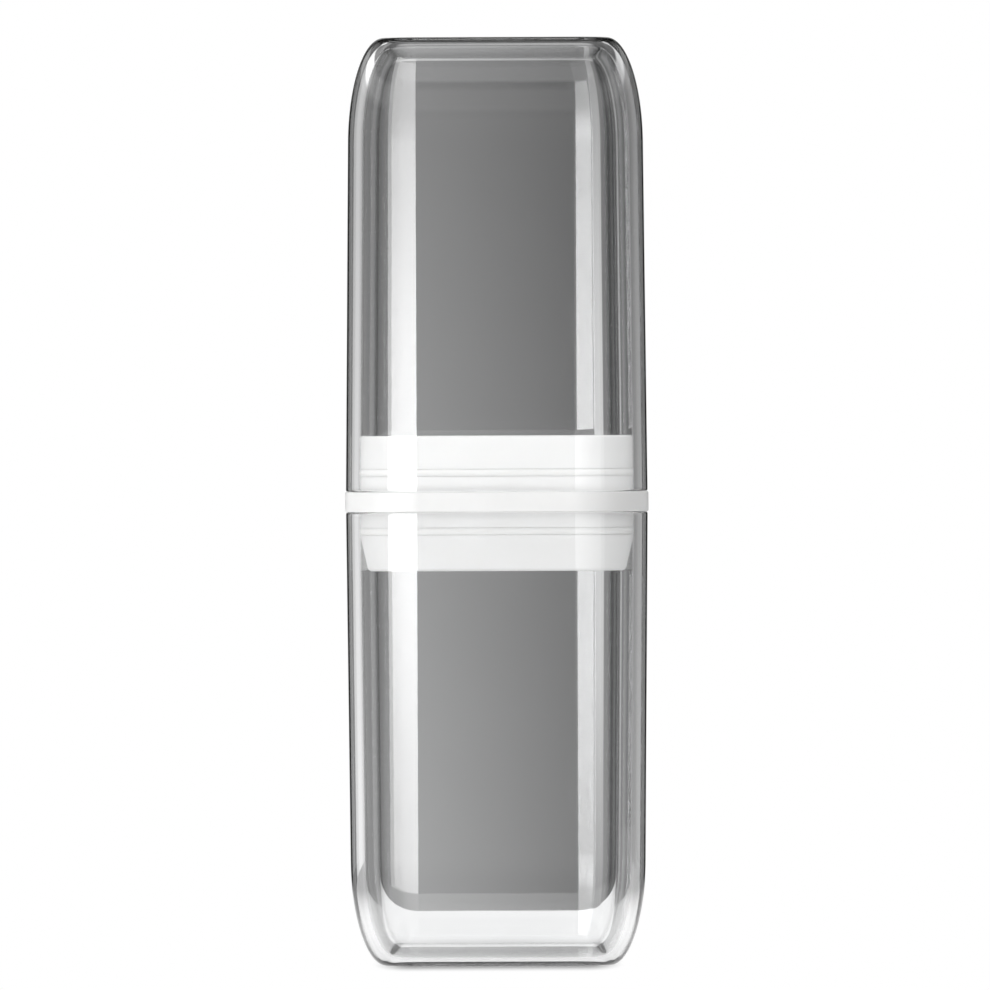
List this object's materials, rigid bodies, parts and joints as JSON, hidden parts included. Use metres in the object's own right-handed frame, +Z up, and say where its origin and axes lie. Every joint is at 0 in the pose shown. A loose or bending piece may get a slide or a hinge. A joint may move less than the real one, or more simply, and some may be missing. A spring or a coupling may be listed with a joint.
{
  "type": "toothbrush travel case",
  "caption": "Upright travel case for toothbrushes: clear rounded-square cups set mouth to mouth on a white connector ring with sealed push-fit collars.",
  "frame": {"origin": "middle of the lower cup's flat underside, where the case stands", "axes": "+Z up along the case, from the lower cup to the upper cup; +X to the right and +Y away as the case is seen from the front"},
  "size_m": [0.0688, 0.0688, 0.21],
  "materials": {
    "clear_plastic": "clear, polished",
    "white_plastic": "fine satin moulding",
    "white_silicone": "soft matt"
  },
  "bodies": {
    "lower_cup": {"lower_cup": "clear_plastic"},
    "connector": {"connector_ring": "white_plastic", "lower_seal_ring": "white_silicone", "upper_seal_ring": "white_silicone"},
    "upper_cup": {"upper_cup": "clear_plastic"}
  },
  "joints": [
    {"name": "connector_lift", "type": "slide", "parent": "lower_cup", "child": "connector", "axis": [0, 0, 1], "range_m": [0, 0.04]},
    {"name": "upper_cup_lift", "type": "slide", "parent": "connector", "child": "upper_cup", "axis": [0, 0, 1], "range_m": [0, 0.04]}
  ]
}
